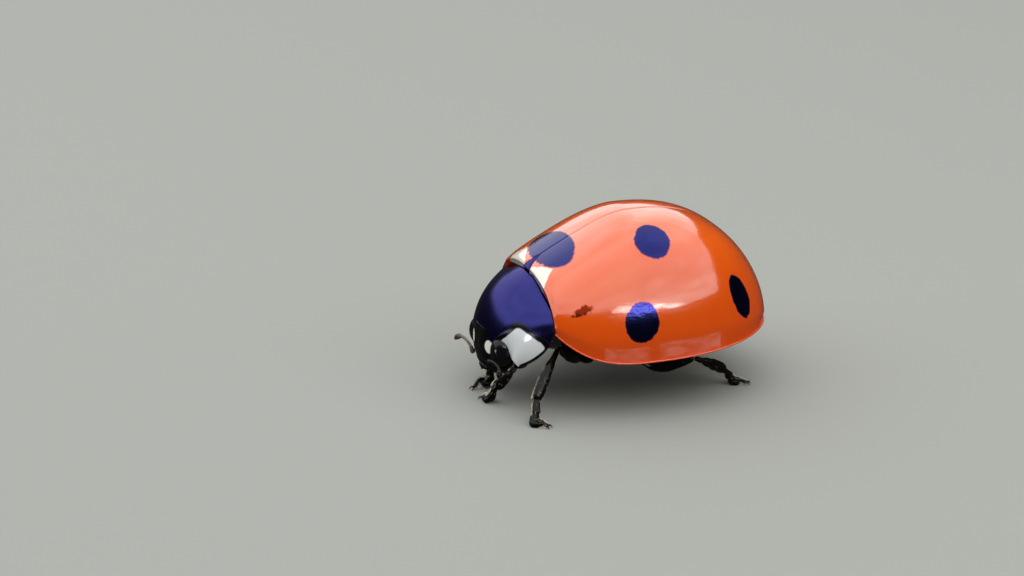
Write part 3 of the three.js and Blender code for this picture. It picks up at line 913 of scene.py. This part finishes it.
for name, points in LEGS.items():
    hip, mid_thigh, knee, ankle, heel, arch, toe = [Vector(point) for point in points]
    outward = Vector((math.copysign(1, hip.x), 0, 0.4))
    thigh = [hip.lerp(mid_thigh, 0.2), mid_thigh, knee]
    shin = [knee, knee.lerp(ankle, 0.5) + (knee - mid_thigh).normalized() * 0.04, ankle]
    sole = [ankle, heel.lerp(ankle, 0.25), heel, arch, toe]

    ahead = (toe - heel).normalized()
    across = ahead.cross(Vector((0, 0, 1))).normalized()
    foot = tube([ankle.lerp(knee, 0.07), ankle.lerp(heel, 0.6)], [0.06, 0.09, 0.12], 0.8, outward)
    for lobe in (1, -1):  # the second joint
        spread = across * 0.05 * lobe
        join_into(foot, tube([ankle.lerp(heel, 0.42), heel + spread - ahead * 0.02,
                              heel.lerp(toe, 0.5) + spread * 1.6], [0.06, 0.1, 0.12, 0.08], FOOT_FLAT))
    join_into(foot, tube([heel, arch + Vector((0, 0, 0.03)), toe], [0.04, 0.036, 0.04, 0.05]))
    for lobe in (1, -1):  # the claws
        base = toe + across * 0.015 * lobe
        claw = [base, base + ahead * 0.05 + across * 0.04 * lobe + Vector((0, 0, 0.02)),
                base + ahead * 0.1 + across * 0.06 * lobe + Vector((0, 0, -0.05))]
        join_into(foot, tube(claw, [0.026, 0.022, 0.012, 0.005], around=8, along=10))

    for part, solid, bm in (
        ("hip", "coxa", rounded(hip, (0.3, 0.2, 0.15), fineness=3)),
        ("thigh", "femur", tube(thigh, THIGH_RADII, THIGH_FLAT, outward, 24, 30)),
        ("shin", "tibia", tube(shin, SHIN_RADII, SHIN_FLAT, outward, 24, 30)),
        ("foot", "tarsus", foot),
    ):
        finish_piece(bm, f"{part}_{name}", shell_finish, [f"{solid}_{name}"])
    bristly_parts += [("thigh", thigh, THIGH_RADII, THIGH_FLAT, outward),
                      ("shin", shin, SHIN_RADII, SHIN_FLAT, outward),
                      ("foot", sole, FOOT_RADII, FOOT_FLAT, outward)]

# %% [markdown]
# ## Breast and belly
#
# Underneath, the breast is one strong box with a groove down its middle and one between each pair of
# hips. The belly shows its rings: each ends in a small step where it overlaps the next.

# %% Breast and belly
SUNK = 0.51  # how far the trunk lies inside the wing cases
BREAST_FRONT = -2.66
BREAST_END = 0.3
BELLY_REAR = 2.78
NECK_DEPTH = 0.27
BREAST_DEPTH = 0.62
HIP_GROOVES = (-1.75, -0.72)
BELLY_TAIL_DEPTH = 0.05
BELLY_RINGS = (0.3, 0.95, 1.45, 1.9, 2.3, 2.6)


def trunk_point(a, s, front, rear):
    y = mix(front, rear, s)
    outer = a <= 0.5
    across = 4 * a - 1 if outer else 3 - 4 * a
    share = math.sin(across * math.pi / 2)
    width = max(half_width(y) - SUNK, 0)
    rise = max(crest_rise(y) - SUNK, 0)
    z = margin_height(y) + rise * superellipse(abs(share), ARCH_SHAPE)
    if not outer:
        taper = clamp01((y - BREAST_END) / (BELLY_REAR - BREAST_END)) ** 1.5
        fullness = smooth((y - BREAST_FRONT) / 2.0)
        depth = mix(mix(NECK_DEPTH, BREAST_DEPTH, fullness), BELLY_TAIL_DEPTH, taper)
        flatness = mix(1.3, 0.7, fullness)
        z = margin_height(y) - (depth + margin_height(y)) * (1 - share * share) ** flatness
        if y < BREAST_END:
            grooves = [abs(y - groove) for groove in HIP_GROOVES] + [abs(share * width) * 0.8]
            z += 0.05 * bell(min(grooves), 0.05) * (1 - share ** 4)
        else:
            ring = max(edge for edge in BELLY_RINGS if edge <= y + 1e-6)
            z += 0.05 * math.exp(-(y - ring) / 0.12) * (1 - share ** 4)
    return world(width * share, y, z)


bm = draped_grid(128, 110, lambda a, s: trunk_point(a, s, BREAST_FRONT, BREAST_END))
finish_piece(bm, "breast", shell_finish, ["thorax"])
bm = draped_grid(128, 110, lambda a, s: trunk_point(a, s, BREAST_END + 0.005, BELLY_REAR))
finish_piece(bm, "belly", shell_finish, ["abdomen"])

# %% [markdown]
# ## Bristles
#
# Short pale-gold bristles clothe the shins, the soles and the edge of the thighs; light that comes from
# behind turns them into a fine bright line along each shin. A particle system would make them, but it
# does not travel with a mesh, so each bristle is a tiny three-sided cone, joined into one mesh. Its patch
# in the UV map sits where its root would be if the leg's tube were rolled out flat.

# %% Bristles
random.seed(7)
BRISTLE_LIFT = 0.22  # how steeply a bristle leaves the surface; at 0 it would lie flat


def add_bristle(bm, root, run, lift, length, thickness, uv):
    """One bristle from a root point, leaning along run and away from the surface along lift."""
    uv_layer = bm.loops.layers.uv["OFBake"]
    aim = (run.normalized() + lift.normalized() * BRISTLE_LIFT).normalized()
    if min(root.z, (root + aim * length).z) < 0.008 - RIDE_HEIGHT:
        return  # none grow into the ground
    made = bmesh.ops.create_cone(bm, segments=3, radius1=thickness * MM, radius2=0.15 * thickness * MM,
                                 depth=length * MM, cap_ends=True, cap_tris=False)
    turn = aim.to_track_quat("Z", "Y").to_matrix().to_4x4()
    place_it = Matrix.Translation(world(*(root + aim * length * 0.5))) @ turn
    bmesh.ops.transform(bm, matrix=place_it, verts=made["verts"])
    faces = {face for vertex in made["verts"] for face in vertex.link_faces}
    for face in faces:
        for index, loop in enumerate(face.loops):
            loop[uv_layer].uv = (uv[0] + 0.003 * (index % 2), uv[1] + 0.003 * (index // 2))


def clothe(whole, points, radii, flat, facing, count, length, strip, where, thickness):
    """Add bristles over a swept tube to the whole, crowded round an angle unless where is None."""
    bm = bmesh.new()
    bm.loops.layers.uv.new("OFBake")
    for _ in range(count):
        s = random.uniform(0.03, 0.97)
        angle = random.gauss(where, 0.2) if where is not None else random.uniform(0, 2 * math.pi)
        here = along_line(points, s)
        run, across, over = along_axes(points, s, facing)
        lift = across * math.cos(angle) + over * flat * math.sin(angle)
        radius = even_steps(radii, s) * 0.93
        uv = (strip + 0.045 * ((angle / (2 * math.pi)) % 1), 0.02 + 0.95 * s)
        add_bristle(bm, here + lift * radius, run, lift, length * random.uniform(0.6, 1.2), thickness, uv)
    join_into(whole, bm)


BRISTLES = {  # how many are spread over a part, how many crowd its edge, and their length
    "thigh": (50, 60, 0.05), "shin": (60, 560, 0.07), "foot": (50, 480, 0.06),
}
STRIP = 0.05  # the width of each part's strip of the UV map
bristles = bmesh.new()
start = 0.01
for part, points, radii, flat, facing in bristly_parts:
    spread, crowd, length = BRISTLES[part]
    kinds = ((spread, None, 0.0035), (crowd, 0, 0.0055), (crowd // 4, math.pi, 0.0035))
    for count, where, thickness in kinds:
        clothe(bristles, points, radii, flat, facing, count, length, start, where, thickness)
    start += STRIP
patches = [loop[bristles.loops.layers.uv["OFBake"]].uv for face in bristles.faces for loop in face.loops]
print("bristle patches on the map:", [(round(min(row), 3), round(max(row), 3)) for row in zip(*patches)])
finish_piece(bristles, "leg_bristles", bristle_finish)

# %% [markdown]
# ## Floor
#
# The beetle stands on a plain pale floor, with a sloping ring of the same finish far behind it. Both
# stay out of the gloss, so that the polished plates are dark below the horizon, as they are over a leaf.

# %% Floor
floor_finish, _, surface = new_finish("studio_floor_matt")
feed(surface, {"Base Color": "#9A9C97", "Roughness": 1.0, "Specular IOR Level": 0.0})
bm = bmesh.new()
bmesh.ops.create_grid(bm, x_segments=1, y_segments=1, size=0.6)
floor = new_object(bm, "floor", floor_finish)
bm = bmesh.new()
bmesh.ops.create_circle(bm, segments=96, radius=0.58)
wall = bmesh.ops.extrude_edge_only(bm, edges=bm.edges)
top = [vertex for vertex in wall["geom"] if isinstance(vertex, bmesh.types.BMVert)]
bmesh.ops.translate(bm, verts=top, vec=(0, 0, 0.4))
bmesh.ops.scale(bm, verts=top, vec=(1.8, 1.8, 1))
backdrop = new_object(bm, "backdrop", floor_finish)
for stage in (floor, backdrop):
    stage.data.shade_smooth()
    stage.visible_glossy = False
print("floor width:", floor.dimensions.x, "m")

# %% [markdown]
# ## Light
#
# A very wide soft sheet of light hangs low over the beetle like an overcast sky: a glossy dome shows it as
# one large bright patch, whose edges say how round the dome is. A brighter strip on the sky's near edge,
# two bright patches on the ground and one small glint give the gloss its smaller lights. One big lamp
# above, which the gloss does not show, fills the shadows.

# %% Light
scene = bpy.context.scene
scene.view_settings.view_transform = "Standard"
scene.view_settings.look = "None"
scene.view_settings.exposure = 0.2
studio_world = bpy.data.worlds.new("studio")
studio_world.use_nodes = True
feed(studio_world.node_tree.nodes["Background"], {"Color": "#D6D2C4", "Strength": 0.06})
scene.world = studio_world

RIGHT = Vector((0.347, 0.938, 0))  # the camera's right, on the floor
AWAY = Vector((-0.938, 0.347, 0))  # away from the camera, on the floor
CEILING = 60.0
SKY_EDGE = (  # how far to the camera's right and how near to it, in heights of the sky
    (-3.3, 1.5), (-1.0, 1.0), (0.0, 1.3), (1.0, 1.95), (2.3, 1.95), (2.9, 0.5), (1.35, -0.2), (0.72, -0.8),
    (0.72, -5.0), (-3.3, -5.0),
)
RIM_EDGE = ((0.2, 1.2), (0.9, 1.58), (2.25, 1.66), (2.25, 1.97), (0.98, 1.97), (0.15, 1.45))


def glowing_sheet(name, corners, strength, clouds=0.0, rounding=0.0, cloud_size=30 * MM, gloss_only=True):
    """A flat shape, given by its corners in the scene, that glows; gloss_only keeps it off dull surfaces."""
    finish, tree, surface = new_finish(f"{name}_glow")
    tree.nodes.remove(surface)
    place = add_node(tree, "TexCoord", output="Object")
    sky = CEILING * MM
    noise = add_node(tree, "TexNoise", {"Vector": place, "Scale": 1 / cloud_size})
    level = add_node(tree, "MapRange", {"Value": noise, "From Min": 0.35, "From Max": 0.65,
                                        "To Min": strength * (1 - clouds), "To Max": strength * (1 + clouds)})
    near_right = ramp(tree, place, (RIGHT - AWAY) * 0.7, 0.3 * sky, 2.2 * sky)
    share = paint(tree, 1 - 0.8 * clouds, (ramp(tree, place, AWAY, 0.0, 2.0 * sky), 1 - clouds),
                  (near_right, 1 + 1.2 * clouds))  # dimmer far off, brighter to the near right
    level = add_node(tree, "Math", {0: level, 1: share}, operation="MULTIPLY")
    feed(tree.nodes["Material Output"], {"Surface": add_node(tree, "Emission", {"Strength": level})})

    bm = bmesh.new()
    bm.faces.new([bm.verts.new(corner) for corner in corners])
    if rounding:
        bmesh.ops.bevel(bm, geom=bm.verts, offset=rounding, segments=4, profile=0.5, affect="VERTICES",
                        material=-1)
    bmesh.ops.triangulate(bm, faces=bm.faces)
    sheet = new_object(bm, name, finish)
    sheet.visible_camera = False
    sheet.visible_diffuse = sheet.visible_shadow = not gloss_only


def in_sky(corners, height):
    """Points of the sky from how far right and how near they are, in heights of the sky."""
    return [(RIGHT * right - AWAY * near + Vector((0, 0, height))) * CEILING * MM for right, near in corners]


glowing_sheet("overcast_sky", in_sky(SKY_EDGE, 1), 1.7, clouds=0.2, rounding=12 * MM, gloss_only=False)
glowing_sheet("sky_rim", in_sky(RIM_EDGE, 0.99), 5.5, clouds=0.6, rounding=3 * MM, cloud_size=15 * MM)
for name, corners in (
    ("bright_leaf", ((5.4, -2.6), (7.4, -3.2), (7.6, 0.9), (5.6, 0.3))),
    ("bright_leaf_behind", ((5.7, 0.8), (8.4, 1.8), (5.9, 6.3), (4.25, 3.9))),
):
    glowing_sheet(name, [world(x, y, 0.05 - RIDE_HEIGHT) for x, y in corners], 1.3, clouds=0.8,
                  rounding=0.25 * MM, cloud_size=0.9 * MM)
glowing_sheet("glint", [world(x, -42.5, z) for x, z in ((2.5, -6), (10.5, -6), (10.5, 2), (2.5, 2))], 12.0,
              rounding=2 * MM)

fill = bpy.data.lights.new("fill", "AREA")
fill.size = 3.0  # metres
fill.energy = 16.0  # watts
fill.color = linear("#FFFDF8")[:3]
lamp = bpy.data.objects.new("fill", fill)
lamp.location = (0, 0, 1.0)
lamp.visible_camera = lamp.visible_glossy = False
scene.collection.objects.link(lamp)
print("glowing sheets:", [m.name for m in bpy.data.materials if m.name.endswith("_glow")])

# %% [markdown]
# ## Camera
#
# The camera looks at the left side from a little in front and above. It stands far off with a long lens,
# so the beetle looks as it does through a magnifying glass, with hardly any foreshortening.

# %% Camera
CAMERA_AZIMUTH = math.radians(69.694)
CAMERA_ELEVATION = math.radians(19.182)
CAMERA_DISTANCE = 80.0  # in millimetres
SENSOR_WIDTH = 36.0
PIXELS_PER_MM = 40.0
PICTURE_WIDTH = 1024  # in pixels, as are the next two
BODY_RIGHT_OF_MIDDLE = 118.65  # where the zero of the body's frame lies in the picture
BODY_BELOW_MIDDLE = 33.77
camera_data = bpy.data.cameras.new("camera")
camera = bpy.data.objects.new("camera", camera_data)
scene.collection.objects.link(camera)
back = Vector((
    math.sin(CAMERA_AZIMUTH) * math.cos(CAMERA_ELEVATION),
    -math.cos(CAMERA_AZIMUTH) * math.cos(CAMERA_ELEVATION),
    math.sin(CAMERA_ELEVATION),
))
camera.location = world(*(back * CAMERA_DISTANCE))
camera.rotation_mode = "QUATERNION"
camera.rotation_quaternion = (-back).to_track_quat("-Z", "Y")
camera_data.sensor_width = SENSOR_WIDTH
camera_data.lens = SENSOR_WIDTH * CAMERA_DISTANCE * PIXELS_PER_MM / PICTURE_WIDTH
camera_data.shift_x = -BODY_RIGHT_OF_MIDDLE / PICTURE_WIDTH
camera_data.shift_y = BODY_BELOW_MIDDLE / PICTURE_WIDTH
camera_data.clip_start = 0.001
camera_data.clip_end = 10
scene.camera = camera
print("camera:", round(camera_data.lens, 1), "mm lens,", CAMERA_DISTANCE, "mm away")
